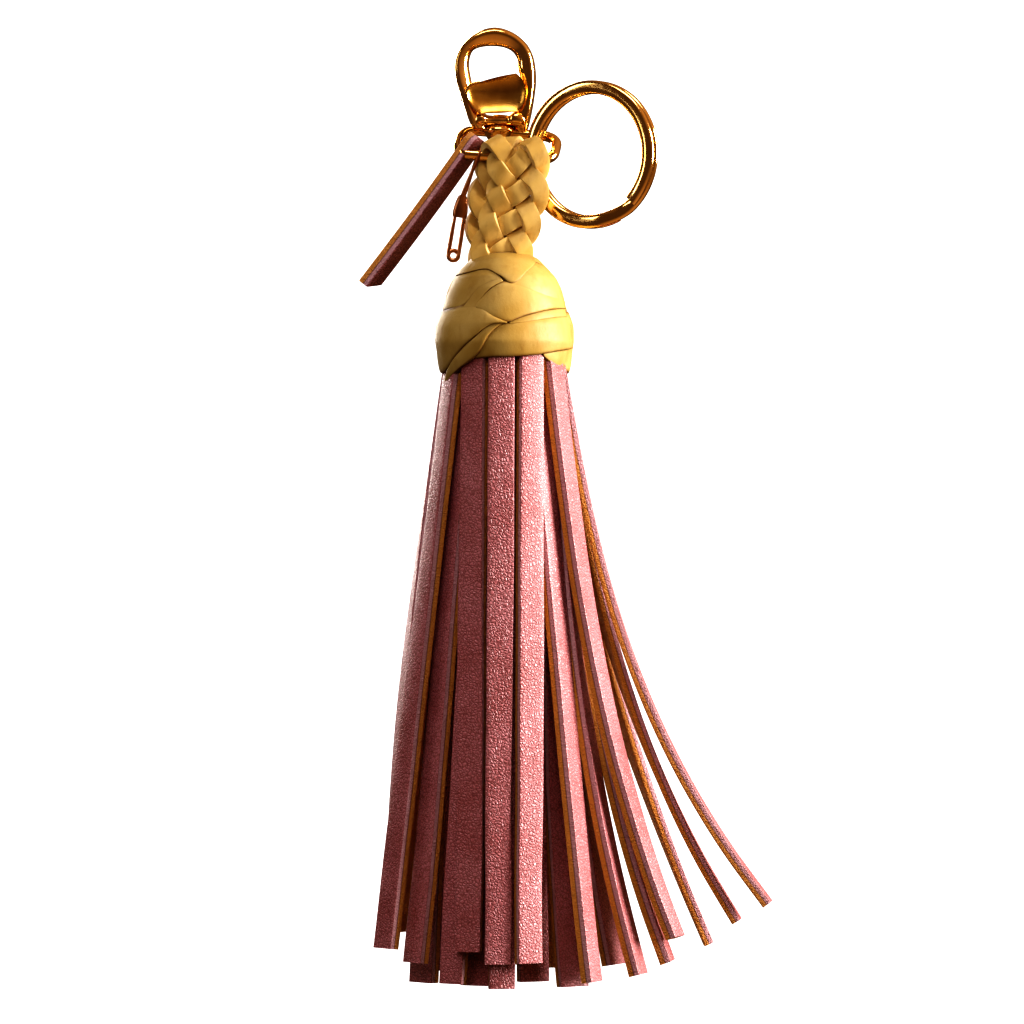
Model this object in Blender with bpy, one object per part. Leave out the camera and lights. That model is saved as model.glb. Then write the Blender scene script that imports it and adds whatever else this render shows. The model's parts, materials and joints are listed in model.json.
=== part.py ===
"""Leather tassel keychain: snap hook, swivel, strap loop, key ring, tag, safety pin,
folded braid, woven head and a fringe of leather strands.

The keychain hangs from its snap hook: +Z up, +X to the right seen from the front,
the front faces -Y, and the origin is the centre of the hook's eye.
Lengths in this script are millimetres; add_solid turns them into metres.
"""
import math

import bmesh
import bpy
from mathutils import Vector

MM = 0.001
GAP = 0.3

# Snap hook, in its own plane: across it, then along it from the eye's centre.
HOOK_TILT = math.radians(4.9)
HOOK_OUTER = [(0, 6.7), (4.2, 5.6), (7.0, 2.6), (7.8, -1.0),
              (7.3, -5.4), (6.2, -9.2), (4.6, -10.8), (0, -11.0)]
HOOK_INNER = [(0, 3.5), (2.7, 2.7), (4.3, 0.8), (4.75, -1.6),
              (5.3, -4.6), (4.9, -7.4), (3.6, -8.9), (0, -9.1)]
HOOK_DEPTH_TOP = 3.2
HOOK_DEPTH_BASE = 4.8
GATE_TOP = -3.0
GATE_BOTTOM = -8.6
GATE_THICKNESS = 0.7
GATE_DISH = 0.8
GATE_FRONT = -2.9
GATE_LUG = 1.8
GATE_PIN_W = -6.2
GATE_PIN_RADIUS = 0.4
SPRING_RADIUS = 0.85
SPRING_WIRE = 0.14
SPRING_TURNS = 4

# Swivel: a turned post with a peened head, a washer and a ball eye for the loop.
SWIVEL_X = 1.0
SHANK_RADIUS = 0.95
EYE_Z = -13.2
EYE_RADIUS = 1.8
COLLAR_RADIUS = 2.6

# Strap loop: an oval wire ring through the swivel's eye, leaning forward.
LOOP_WIRE = 0.8
LOOP_HALF_LENGTH = 8.95
LOOP_HALF_HEIGHT = 3.95
LOOP_PITCH = math.radians(52)
LOOP_ROLL = math.radians(-8)
LOOP_SHIFT = 2.4
LOOP_CORNER = 2.9

# Split key ring: two flat turns side by side with one step between them.
RING_RADIUS = 12.55
RING_BAND = 3.0
RING_LEAF = 0.72
RING_LEAF_PITCH = 0.88
RING_CENTRE = Vector((18.5, -9.8, -18.0))
RING_YAW = math.radians(31.9)
RING_STEP_ANGLE = math.radians(-43)
RING_STEP_HALF = math.radians(24)

# Leather tag and safety pin, both hung on the strap loop left of the braid.
TAG_WIDTH = 5.1
TAG_THICKNESS = 2.2
TAG_LENGTH = 29.5
TAG_HEAD = 2.6
TAG_FACE = Vector((0.70, -0.44, -0.566)).normalized()
TAG_DIRECTION = Vector((-0.63, 0.0, -0.777)).normalized()
TAG_LOBE_ANGLE = math.radians(225)
TAG_HOLE = 1.7
PIN_WIRE = 0.32
PIN_BAR_OFFSET = -5.2
PIN_LEAN = Vector((-0.29, 0.0, -0.957)).normalized()
PIN_LINK_LENGTH = 7.0
PIN_LINK_HALF_WIDTH = 1.5
PIN_LENGTH = 11.2
PIN_SPINE_SIDE = 0.85
PIN_CAP_START = 2.5
CAP_LENGTH = 3.6

# Braid: four laces up the front, over the loop's bar and down the back.
LACE_PITCH = 2.3
LACE_WIDTH = 2.0
LACE_THICKNESS = 2.0
LACE_FOLD_RADIUS = 2.25
BRAID_FOLD_X = 3.9
BRAID_FRONT_FOLD_X = 4.3
BRAID_BACK_FOLD_X = 2.2
BRAID_FOOT_Z = -38.3

# Woven head: a dome of leather bands round the fringe's rolled core.
HEAD_X = 2.1
HEAD_PROFILE = [(-39.0, 7.2), (-41.0, 9.4), (-44.0, 11.0), (-48.0, 12.4), (-52.4, 13.3), (-56.0, 13.0)]
BAND_THICKNESS = 1.3
BAND_COUNT = 6

# Fringe strands, each hinged in its group just under the head.
STRAND_WIDTH = 4.0
STRAND_THICKNESS = 1.5
STRAND_TOP_Z = -54.6
STRAND_STEPS = 10
RING_RADII = {1: 10.0, 2: 7.4, 3: 4.7}
# name, ring, angle round the core, end x, end y from the core, end z, flare, face angle at the end.
# A strand with no flare is straight; a positive flare opens late, a negative one bulges early.
STRANDS = [
    ("strand_front_left", 1, -66, -20.4, -8.0, -168.0, 0.0, -48),
    ("strand_front_mid_left", 1, -34, -4.6, -13.2, -168.2, 0.0, -12),
    ("strand_front_middle", 1, -3, 0.8, -14.6, -170.4, 0.0, 0),
    ("strand_front_mid_right", 1, 29, 6.6, -14.6, -170.2, 0.0, 24),
    ("strand_right_outer", 1, 60, 34.3, -7.5, -166.0, 0.45, 66),
    ("strand_stray_high", 1, 91, 52.0, -3.0, -160.0, 0.55, 82),
    ("strand_stray_middle", 1, 121, 46.3, 1.5, -163.6, 0.48, 84),
    ("strand_back_right", 1, 151, 12.5, 17.4, -171.0, 0.0, 160),
    ("strand_back_middle", 1, 181, 5.0, 15.0, -169.0, 0.0, 180),
    ("strand_back_left", 1, 211, -8.0, 14.0, -172.0, 0.0, 208),
    ("strand_left_rear", 1, 240, -17.0, 9.0, -166.0, -0.5, 238),
    ("strand_left_outer", 1, 267, -18.5, 0.5, -162.0, -0.5, 300),
    ("strand_second_left", 2, -60, -14.6, -7.8, -170.7, 0.05, -48),
    ("strand_second_mid_left", 2, -24, -7.6, -9.6, -174.5, 0.0, -30),
    ("strand_second_middle", 2, 12, 1.5, -11.0, -175.3, 0.0, 5),
    ("strand_right_inner", 2, 48, 18.5, -11.5, -174.0, 0.1, 64),
    ("strand_right_middle", 2, 84, 27.3, -8.0, -173.0, 0.42, 68),
    ("strand_right_rear", 2, 120, 33.0, -3.0, -171.0, 0.42, 80),
    ("strand_stray_low", 2, 156, 41.1, 8.4, -168.4, 0.2, 92),
    ("strand_second_back_right", 2, 192, 10.0, 9.5, -173.0, 0.0, 175),
    ("strand_second_back_left", 2, 228, -3.5, 9.5, -174.0, 0.0, 200),
    ("strand_second_rear_left", 2, 264, -13.4, 2.6, -175.3, -0.2, 318),
    ("strand_core_left", 3, -30, -3.2, -4.0, -175.3, 0.0, -20),
    ("strand_core_front", 3, 30, 7.6, -5.6, -174.4, 0.0, 20),
    ("strand_core_right", 3, 88, 15.0, -3.0, -175.6, 0.1, 30),
    ("strand_core_rear_right", 3, 148, 23.0, 3.0, -172.0, 0.15, 60),
    ("strand_core_rear", 3, 208, 3.0, 4.2, -172.0, 0.0, 190),
    ("strand_core_rear_left", 3, 268, -7.6, 2.0, -173.0, 0.0, 345),
]
# Strands that fold outwards together: the group's hinge direction, then its strands.
STRAND_GROUPS = {
    "fringe_front": (0, ("strand_front_mid_left", "strand_front_middle", "strand_front_mid_right",
                         "strand_second_mid_left", "strand_second_middle")),
    "fringe_left": (270, ("strand_front_left", "strand_left_outer", "strand_left_rear",
                          "strand_second_left", "strand_second_rear_left")),
    "fringe_back": (180, ("strand_back_left", "strand_back_middle", "strand_back_right",
                          "strand_second_back_left", "strand_second_back_right")),
    "fringe_right": (50, ("strand_right_outer",)),
    "stray_high": (91, ("strand_stray_high",)),
    "stray_pair": (88, ("strand_stray_middle", "strand_stray_low")),
}

MATERIALS = {
    "gold": ((0.83, 0.53, 0.20), 1.0, 0.16),
    "steel": ((0.60, 0.58, 0.55), 1.0, 0.25),
    "mustard_leather": ((0.58, 0.37, 0.10), 0.0, 0.55),
    "pink_leather": ((0.48, 0.16, 0.18), 0.0, 0.45),
}

pivots = {}


def clear_scene():
    for scene_object in list(bpy.data.objects):
        bpy.data.objects.remove(scene_object, do_unlink=True)


def make_materials():
    for name, (colour, metallic, roughness) in MATERIALS.items():
        material = bpy.data.materials.new(name)
        material.use_nodes = True
        shader = material.node_tree.nodes["Principled BSDF"]
        shader.inputs["Base Color"].default_value = (*colour, 1.0)
        shader.inputs["Metallic"].default_value = metallic
        shader.inputs["Roughness"].default_value = roughness
        material.diffuse_color = (*colour, 1.0)


def add_pivot(name, location, parent=None):
    """An empty on a joint's axis; moving pieces and later pivots hang under it."""
    empty = bpy.data.objects.new("pivot_" + name, None)
    empty.empty_display_size = 2 * MM
    base = Vector((0, 0, 0))
    if parent:
        empty.parent = pivots[parent][0]
        base = pivots[parent][1]
    empty.location = (Vector(location) - base) * MM
    bpy.context.collection.objects.link(empty)
    pivots[name] = (empty, Vector(location))


def add_solid(name, points, faces, material, pivot=None, helper=False):
    """A closed solid from points in millimetres, its faces turned outwards."""
    base = pivots[pivot][1] if pivot else Vector((0, 0, 0))
    mesh = bpy.data.meshes.new(name)
    mesh.from_pydata([(Vector(point) - base) * MM for point in points], [], faces)
    body = bmesh.new()
    body.from_mesh(mesh)
    if body.calc_volume(signed=True) < 0:
        bmesh.ops.reverse_faces(body, faces=body.faces)
    body.to_mesh(mesh)
    body.free()
    mesh.shade_smooth()
    mesh.set_sharp_from_angle(angle=math.radians(35))
    solid = bpy.data.objects.new(name, mesh)
    bpy.context.collection.objects.link(solid)
    if pivot:
        solid.parent = pivots[pivot][0]
    if helper:
        solid.hide_render = True
        solid.display_type = "WIRE"
    else:
        mesh.materials.append(bpy.data.materials[material])
    return solid


def skin(sections, closed=False):
    """Points and faces of a skin over matching sections, capped unless it closes on itself."""
    size = len(sections[0])
    points = [point for section in sections for point in section]
    faces = []
    count = len(sections)
    for step in range(count if closed else count - 1):
        here = step * size
        there = ((step + 1) % count) * size
        for corner in range(size):
            beside = (corner + 1) % size
            faces.append((here + corner, here + beside, there + beside, there + corner))
    if not closed:
        faces.append(tuple(reversed(range(size))))
        faces.append(tuple(range((count - 1) * size, count * size)))
    return points, faces


def frames_along(path, up):
    """Tangent, side and normal at each point of a path, with the normal kept near up."""
    frames = []
    last = len(path) - 1
    for index, point in enumerate(path):
        tangent = (path[min(index + 1, last)] - path[max(index - 1, 0)]).normalized()
        side = tangent.cross(up).normalized()
        frames.append((point, side, side.cross(tangent).normalized()))
    return frames


def round_section(centre, side, normal, radius, sides):
    turn = 2 * math.pi / sides
    return [centre + radius * (math.cos(turn * k) * side + math.sin(turn * k) * normal) for k in range(sides)]


def wire(path, up, radius, sides=8, closed=False):
    if closed:
        count = len(path)
        sections = []
        for index, point in enumerate(path):
            tangent = (path[(index + 1) % count] - path[index - 1]).normalized()
            side = tangent.cross(up).normalized()
            sections.append(round_section(point, side, side.cross(tangent), radius, sides))
        return skin(sections, closed=True)
    sections = []
    for point, side, normal in frames_along(path, up):
        sections.append(round_section(point, side, normal, radius, sides))
    return skin(sections)


def strip(path, sides, normals, width, thickness):
    """A flat strip: its width along each side vector and its thickness along each normal."""
    sections = []
    for point, side, normal in zip(path, sides, normals):
        across = side * width / 2
        through = normal * thickness / 2
        sections.append([point - across - through, point + across - through,
                         point + across + through, point - across + through])
    return skin(sections)


def lathe(profile, centre, sides=20):
    """A turned solid from (radius, height) points, top to bottom, closed on its axis."""
    turn = 2 * math.pi / sides
    sections = []
    for radius, height in profile:
        ring = [centre + Vector((radius * math.cos(turn * k), radius * math.sin(turn * k), height))
                for k in range(sides)]
        sections.append(ring)
    return skin(sections)


def cylinder(centre, direction, radius, length, sides=20):
    direction = direction.normalized()
    ends = [centre - direction * length / 2, centre + direction * length / 2]
    helper_axis = Vector((0, 0, 1)) if abs(direction.z) < 0.9 else Vector((0, 1, 0))
    return wire(ends, helper_axis, radius, sides)


def smooth_points(points, per_span, closed=False):
    """Catmull-Rom points through a list of 2-D or 3-D points."""
    count = len(points)
    result = []
    for index in range(count if closed else count - 1):
        if closed:
            around = [points[(index + k) % count] for k in (-1, 0, 1, 2)]
        else:
            around = [points[min(max(index + k, 0), count - 1)] for k in (-1, 0, 1, 2)]
        before, start, end, after = around
        for step in range(per_span):
            t = step / per_span
            result.append(0.5 * (2 * start + (end - before) * t
                                 + (2 * before - 5 * start + 4 * end - after) * t * t
                                 + (3 * start - before - 3 * end + after) * t ** 3))
    if not closed:
        result.append(points[-1].copy())
    return result


def boolean(solid, other, operation):
    modifier = solid.modifiers.new(operation.lower() + "_" + other.name, "BOOLEAN")
    modifier.operation = operation
    modifier.object = other


def hook_point(across, along, depth=0.0):
    """A point in the hook's own plane, tilted a little about the eye's centre."""
    x = across * math.cos(HOOK_TILT) - along * math.sin(HOOK_TILT)
    z = across * math.sin(HOOK_TILT) + along * math.cos(HOOK_TILT)
    return Vector((x, depth, z))


def mirrored_outline(half):
    """The whole outline as 2-D points, from the top down the right and up the left."""
    right = [Vector(point) for point in half]
    left = [Vector((-x, z)) for x, z in reversed(half[1:-1])]
    return right + left


def hook_frame():
    outer = smooth_points(mirrored_outline(HOOK_OUTER), 4, closed=True)
    inner = smooth_points(mirrored_outline(HOOK_INNER), 4, closed=True)
    sections = []
    sides = 14
    for out_point, in_point in zip(outer, inner):
        middle = (out_point + in_point) / 2
        half = (out_point - in_point) / 2
        low = min(max((HOOK_OUTER[2][1] - middle.y) / (HOOK_OUTER[2][1] - HOOK_OUTER[-1][1]), 0), 1)
        depth = HOOK_DEPTH_TOP + (HOOK_DEPTH_BASE - HOOK_DEPTH_TOP) * low
        section = []
        for k in range(sides):
            angle = 2 * math.pi * k / sides
            reach = math.copysign(abs(math.cos(angle)) ** 0.8, math.cos(angle))
            rise = math.copysign(abs(math.sin(angle)) ** 0.8, math.sin(angle))
            flat = middle + half * reach
            section.append(hook_point(flat.x, flat.y, depth / 2 * rise))
        sections.append(section)
    frame = add_solid("hook_frame", *skin(sections, closed=True), "gold")
    shank_bore = add_solid("shank_bore", *cylinder(Vector((SWIVEL_X, 0, -10)), Vector((0, 0, 1)),
                                                   SHANK_RADIUS + GAP, 5), "gold", helper=True)
    pin_bore = add_solid("pin_bore", *cylinder(hook_point(0, GATE_PIN_W), hook_point(1, 0),
                                               GATE_PIN_RADIUS + GAP, 20, 16), "gold", helper=True)
    boolean(frame, shank_bore, "DIFFERENCE")
    boolean(frame, pin_bore, "DIFFERENCE")


def gate_half_width(along):
    """Half the clear width between the hook's arms at a height."""
    heights = [point[1] for point in HOOK_INNER[3:-1]]
    widths = [point[0] for point in HOOK_INNER[3:-1]]
    for k in range(len(heights) - 1):
        if heights[k] >= along >= heights[k + 1]:
            t = (heights[k] - along) / (heights[k] - heights[k + 1])
            return widths[k] + (widths[k + 1] - widths[k]) * t
    return widths[-1]


def gate_knuckle(place):
    """A lug from the thumb plate's back, rounded about the gate pin."""
    radius = 1.1
    sections = []
    for across in (place - GATE_LUG / 2, place + GATE_LUG / 2):
        section = [hook_point(across, GATE_PIN_W + radius, GATE_FRONT + 0.9)]
        for step in range(9):
            angle = math.pi / 2 - math.pi * step / 8
            forward = radius * math.cos(angle)
            section.append(hook_point(across, GATE_PIN_W + radius * math.sin(angle), forward))
        section.append(hook_point(across, GATE_PIN_W - radius, GATE_FRONT + 0.9))
        sections.append(section)
    return skin(sections)


def hook_gate():
    """A dished thumb plate with two knuckles on the gate pin."""
    rows = 9
    columns = 9
    front = []
    back = []
    for row in range(rows):
        along = GATE_TOP + (GATE_BOTTOM - GATE_TOP) * row / (rows - 1)
        half = gate_half_width(along) - GAP - 0.05
        if row == rows - 1:
            half = half - 0.8
        front_row = []
        back_row = []
        for column in range(columns):
            share = 2 * column / (columns - 1) - 1
            fall = row / (rows - 1)
            dish = GATE_DISH * (1 - share * share) * (1 - 0.5 * fall)
            slope = 0.45 * share * (1 - fall)
            depth = GATE_FRONT + dish
            front_row.append(hook_point(half * share, along + slope, depth))
            back_row.append(hook_point(half * share, along + slope, depth + GATE_THICKNESS))
        front.append(front_row)
        back.append(back_row)
    sections = [front_row + list(reversed(back_row)) for front_row, back_row in zip(front, back)]
    gate = add_solid("hook_gate", *skin(sections), "gold", "gate")
    across = hook_point(1, 0)
    for name, place in (("left", -2.75), ("right", 2.75)):
        knuckle = add_solid("knuckle_" + name, *gate_knuckle(place), "gold", "gate", helper=True)
        boolean(gate, knuckle, "UNION")
    bore = add_solid("gate_bore", *cylinder(hook_point(0, GATE_PIN_W), across, GATE_PIN_RADIUS + GAP, 9, 16),
                     "gold", "gate", helper=True)
    boolean(gate, bore, "DIFFERENCE")


def gate_pin():
    pin = cylinder(hook_point(0, GATE_PIN_W), hook_point(1, 0), GATE_PIN_RADIUS, 13.6, 14)
    add_solid("gate_pin", *pin, "gold")


def gate_spring():
    """A torsion spring round the gate pin; one leg to the gate, one to the hook's base."""
    across = hook_point(1, 0)
    up = hook_point(0, 1)
    centre = hook_point(0, GATE_PIN_W)
    back = Vector((0, 1, 0))
    steps = SPRING_TURNS * 12
    half = 1.35
    path = [centre - across * half + back * SPRING_RADIUS + up * 2.0]
    for step in range(steps + 1):
        angle = 2 * math.pi * step / 12
        spot = centre + across * (-half + 2 * half * step / steps)
        path.append(spot + SPRING_RADIUS * (math.cos(angle) * back + math.sin(angle) * -up))
    path.append(centre + across * half + back * SPRING_RADIUS - up * 1.3)
    add_solid("gate_spring", *wire(path, across, SPRING_WIRE, 6), "steel")


def swivel_eye():
    """Head, shank, collar and ball eye turned in one, then bored across for the loop."""
    ball = []
    for step in range(1, 9):
        angle = math.radians(52 - step * 17)
        ball.append((EYE_RADIUS * math.cos(angle), EYE_Z + EYE_RADIUS * math.sin(angle)))
    profile = [(0.9, -7.45), (1.3, -7.6), (1.3, -7.9), (SHANK_RADIUS, -7.9), (SHANK_RADIUS, -11.25),
               (COLLAR_RADIUS - 0.3, -11.3), (COLLAR_RADIUS, -11.55), (COLLAR_RADIUS - 0.4, -11.85)] + ball
    eye = add_solid("swivel_eye", *lathe(profile, Vector((SWIVEL_X, 0, 0))), "gold", "swivel")
    bore = add_solid("eye_bore", *cylinder(loop_point(-LOOP_SHIFT, LOOP_HALF_HEIGHT), LOOP_ALONG,
                                           LOOP_WIRE + GAP, 9, 16), "gold", "swivel", helper=True)
    boolean(eye, bore, "DIFFERENCE")


def swivel_washer():
    sections = []
    sides = 20
    for k in range(sides):
        angle = 2 * math.pi * k / sides
        outward = Vector((math.cos(angle), math.sin(angle), 0))
        middle = Vector((SWIVEL_X, 0, 0))
        inner = middle + outward * (SHANK_RADIUS + GAP)
        outer = middle + outward * 1.55
        sections.append([inner + Vector((0, 0, -8.22)), outer + Vector((0, 0, -8.22)),
                         outer + Vector((0, 0, -8.72)), inner + Vector((0, 0, -8.72))])
    add_solid("swivel_washer", *skin(sections, closed=True), "steel", "swivel")


def loop_axes():
    """The loop's long and short directions and its centre, from its lean and roll."""
    lean = Vector((0, math.sin(LOOP_PITCH), math.cos(LOOP_PITCH)))
    across = Vector((1, 0, 0))
    along = across * math.cos(LOOP_ROLL) + lean * math.sin(LOOP_ROLL)
    upward = lean * math.cos(LOOP_ROLL) - across * math.sin(LOOP_ROLL)
    centre = Vector((SWIVEL_X, 0, EYE_Z)) + along * LOOP_SHIFT - upward * LOOP_HALF_HEIGHT
    return along, upward, centre


LOOP_ALONG, LOOP_UPWARD, LOOP_CENTRE = loop_axes()


def loop_point(along, upward):
    return LOOP_CENTRE + LOOP_ALONG * along + LOOP_UPWARD * upward


def loop_corner_centre(side_along, side_up):
    reach = LOOP_HALF_LENGTH - LOOP_CORNER
    rise = LOOP_HALF_HEIGHT - LOOP_CORNER
    return side_along * reach, side_up * rise


def loop_corner_point(side_along, side_up, angle):
    along, up = loop_corner_centre(side_along, side_up)
    return loop_point(along + LOOP_CORNER * math.cos(angle), up + LOOP_CORNER * math.sin(angle))


def strap_loop():
    """An oval of round wire: four arcs joined by the top, the bar and two short ends."""
    path = []
    corners = [(1, 1, 90), (1, -1, 0), (-1, -1, -90), (-1, 1, -180)]
    steps = 6
    for side_along, side_up, start in corners:
        for step in range(steps + 1):
            path.append(loop_corner_point(side_along, side_up, math.radians(start - 90 * step / steps)))
    normal = LOOP_ALONG.cross(LOOP_UPWARD)
    add_solid("strap_loop", *wire(path, normal, LOOP_WIRE, 12, closed=True), "gold", "loop")


def key_ring():
    """A flat double coil: the two turns lie side by side, with one step between them."""
    level = Vector((math.cos(RING_YAW), -math.sin(RING_YAW), 0))
    rise = Vector((0, 0, 1))
    axle = Vector((-math.sin(RING_YAW), -math.cos(RING_YAW), 0))
    start = RING_STEP_HALF
    finish = 4 * math.pi - RING_STEP_HALF
    steps = 108
    sections = []
    for step in range(steps + 1):
        turn = start + (finish - start) * step / steps
        blend = min(max((turn - 2 * math.pi + RING_STEP_HALF) / (2 * RING_STEP_HALF), 0), 1)
        offset = RING_LEAF_PITCH * (blend * blend * (3 - 2 * blend) - 0.5)
        angle = RING_STEP_ANGLE + turn
        outward = level * math.cos(angle) + rise * math.sin(angle)
        centre = RING_CENTRE + outward * RING_RADIUS + axle * offset
        across = outward * RING_BAND / 2
        through = axle * RING_LEAF / 2
        sections.append([centre - across - through, centre + across - through,
                         centre + across + through, centre - across + through])
    add_solid("key_ring", *skin(sections), "gold", "key_ring")


def tag_strip():
    """A short leather strip with a punched hole, hung on the loop's left end."""
    hole = tag_hole_point()
    side = TAG_FACE.cross(TAG_DIRECTION).normalized()
    sag = Vector((0.9, 0, -1.1))
    path = []
    for step in range(13):
        reach = -TAG_HEAD + (TAG_LENGTH + TAG_HEAD) * step / 12
        share = max(reach, 0) / TAG_LENGTH
        path.append(hole + TAG_DIRECTION * reach + sag * (4 * share * (1 - share)))
    strip_mesh = strip(path, [side] * 13, [TAG_FACE] * 13, TAG_WIDTH, TAG_THICKNESS)
    tag = add_solid("tag_strip", *strip_mesh, "pink_leather", "tag")
    punch = add_solid("tag_punch", *cylinder(hole, TAG_FACE, TAG_HOLE, 6, 16), "gold", "tag", helper=True)
    boolean(tag, punch, "DIFFERENCE")


def tag_hole_point():
    return loop_corner_point(-1, -1, TAG_LOBE_ANGLE)


def pin_bar_point():
    return loop_point(PIN_BAR_OFFSET, -LOOP_HALF_HEIGHT)


def pin_axes():
    """The safety pin's width direction and its front, square to its lean."""
    front = Vector((0, -1, 0))
    width = front.cross(PIN_LEAN).normalized()
    return width, front


def oval_link_path(top, direction, width, length, half_width, steps=8):
    """A long oval in the plane of direction and width, its top bend round a wire at top."""
    path = []
    for step in range(steps + 1):
        angle = math.pi * step / steps
        path.append(top - direction * math.sin(angle) * half_width - width * math.cos(angle) * half_width)
    foot = top + direction * length
    for step in range(steps + 1):
        angle = math.pi * step / steps
        path.append(foot + direction * math.sin(angle) * half_width + width * math.cos(angle) * half_width)
    return path


def pin_link():
    """A thin wire link from the loop's bar to the safety pin's cap."""
    bar = pin_bar_point()
    depth = Vector((0, 1, 0))
    path = oval_link_path(bar, PIN_LEAN, depth, PIN_LINK_LENGTH, PIN_LINK_HALF_WIDTH)
    width = pin_axes()[0]
    add_solid("pin_link", *wire(path, width, 0.3, 6, closed=True), "gold", "safety_pin")


def pin_top_point():
    """Where the safety pin's cap starts, just under the link's lower bend."""
    return pin_bar_point() + PIN_LEAN * (PIN_LINK_LENGTH - 0.7)


def pin_cap():
    """A folded sheet cap, open on the side where the pin's arm swings out."""
    width, front = pin_axes()
    top = pin_top_point()
    outline = [(1.75, 0.85), (-1.45, 0.85), (-1.45, 0.55), (1.4, 0.55), (1.4, -0.55), (-1.45, -0.55),
               (-1.45, -0.85), (1.75, -0.85)]
    sections = []
    for reach in (PIN_CAP_START, PIN_CAP_START + CAP_LENGTH):
        base = top + PIN_LEAN * reach
        sections.append([base + width * across + front * depth for across, depth in outline])
    add_solid("pin_cap", *skin(sections), "gold", "safety_pin")


def pin_coil_centre():
    return pin_top_point() + PIN_LEAN * (PIN_CAP_START + PIN_LENGTH)


def pin_wire():
    """The pin's fixed side: the spine down from the cap and the spring coil below it."""
    width, front = pin_axes()
    top = pin_top_point()
    coil_centre = pin_coil_centre()
    path = [top + PIN_LEAN * reach + width * PIN_SPINE_SIDE for reach in (3.0, 8.0)]
    path.append(coil_centre - PIN_LEAN * 1.2 + width * PIN_SPINE_SIDE)
    steps = 20
    for step in range(steps + 1):
        angle = math.radians(400 * step / steps)
        drift = front * (0.84 * step / steps - 0.42)
        around = width * math.cos(angle) + PIN_LEAN * math.sin(angle)
        path.append(coil_centre + drift + around * PIN_SPINE_SIDE)
    add_solid("pin_wire", *wire(path, front, PIN_WIRE, 8), "gold", "safety_pin")


def pin_arm():
    """The sprung side of the pin, from the coil up into the cap."""
    width, front = pin_axes()
    start = pin_top_point() + PIN_LEAN * 3.0 - width * 0.75
    path = [start, pin_coil_centre() - PIN_LEAN * 2.0 - width * 0.95]
    add_solid("pin_arm", *wire(path, front, PIN_WIRE, 8), "gold", "pin_arm")


def bar_point(x):
    """The point of the loop's bar at a given x."""
    middle = loop_point(0, -LOOP_HALF_HEIGHT)
    return middle + LOOP_ALONG * ((x - middle.x) / LOOP_ALONG.x)


def braid_leg(leg, side):
    """One leg of the braid as points; leg lists (z, x) and side is its distance behind the bar."""
    points = []
    for flat in smooth_points([Vector((x, z)) for z, x in leg], 4):
        points.append(Vector((flat.x, bar_point(flat.x).y + side, flat.y)))
    return points


def braid_centre_line():
    """Points up the front leg, over the bar and down the back leg, with outward normals."""
    fold = bar_point(BRAID_FOLD_X)
    front = [(BRAID_FOOT_Z, 1.6), (-31.0, 3.0), (-25.0, 4.4), (fold.z, BRAID_FRONT_FOLD_X)]
    back = [(fold.z, BRAID_BACK_FOLD_X), (-22.0, 1.3), (-28.0, 1.2), (BRAID_FOOT_Z, 1.6)]
    points = braid_leg(front, -LACE_FOLD_RADIUS)
    normals = [Vector((0, -1, 0))] * len(points)
    for step in range(1, 8):
        angle = math.pi * step / 8
        outward = Vector((0, -math.cos(angle), math.sin(angle)))
        x = BRAID_FRONT_FOLD_X + (BRAID_BACK_FOLD_X - BRAID_FRONT_FOLD_X) * step / 8
        points.append(bar_point(x) + outward * LACE_FOLD_RADIUS)
        normals.append(outward)
    back_points = braid_leg(back, LACE_FOLD_RADIUS)
    return points + back_points, normals + [Vector((0, 1, 0))] * len(back_points)


def braid_laces():
    points, normals = braid_centre_line()
    across = [Vector((1, 0, 0))] * len(points)
    for lace in range(4):
        shift = LOOP_ALONG * LACE_PITCH * (lace - 1.5)
        path = [point + shift for point in points]
        solid = strip(path, across, normals, LACE_WIDTH, LACE_THICKNESS)
        add_solid("braid_lace_%d" % (lace + 1), *solid, "mustard_leather", "strap")


def head_radius(z):
    for (top_z, top_r), (low_z, low_r) in zip(HEAD_PROFILE, HEAD_PROFILE[1:]):
        if top_z >= z >= low_z:
            return top_r + (low_r - top_r) * (top_z - z) / (top_z - low_z)
    return HEAD_PROFILE[-1][1]


def head_core():
    """The rolled, uncut top of the fringe, which the head's bands cover."""
    centre = Vector((HEAD_X, STRAP_Y, 0))
    profile = [(4.6, -39.3)]
    for z, radius in HEAD_PROFILE[1:-1]:
        profile.append((radius - BAND_THICKNESS - GAP, z - 0.5))
    profile.append((11.0, -54.2))
    add_solid("head_core", *lathe(profile, centre, 24), "pink_leather", "strap")


def head_bands():
    gap_angle = 0.35
    for band in range(BAND_COUNT):
        sections = []
        for step in range(7):
            share = step / 6
            outline = []
            for z, radius in HEAD_PROFILE:
                half_gap = gap_angle / radius / 2
                width = 2 * math.pi / BAND_COUNT
                angle = (band - 0.5) * width + half_gap + (width - 2 * half_gap) * share
                outward = Vector((math.sin(angle), -math.cos(angle), 0))
                outline.append((outward, z, radius))
            base = Vector((HEAD_X, STRAP_Y, 0))
            outer = [base + outward * radius + Vector((0, 0, z)) for outward, z, radius in outline]
            inner = [base + outward * (radius - BAND_THICKNESS) + Vector((0, 0, z))
                     for outward, z, radius in reversed(outline)]
            sections.append(outer + inner)
        add_solid("head_band_%d" % (band + 1), *skin(sections), "mustard_leather", "strap")


def strand_group(name):
    for group, (angle, members) in STRAND_GROUPS.items():
        if name in members:
            return group
    return "strap"


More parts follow.
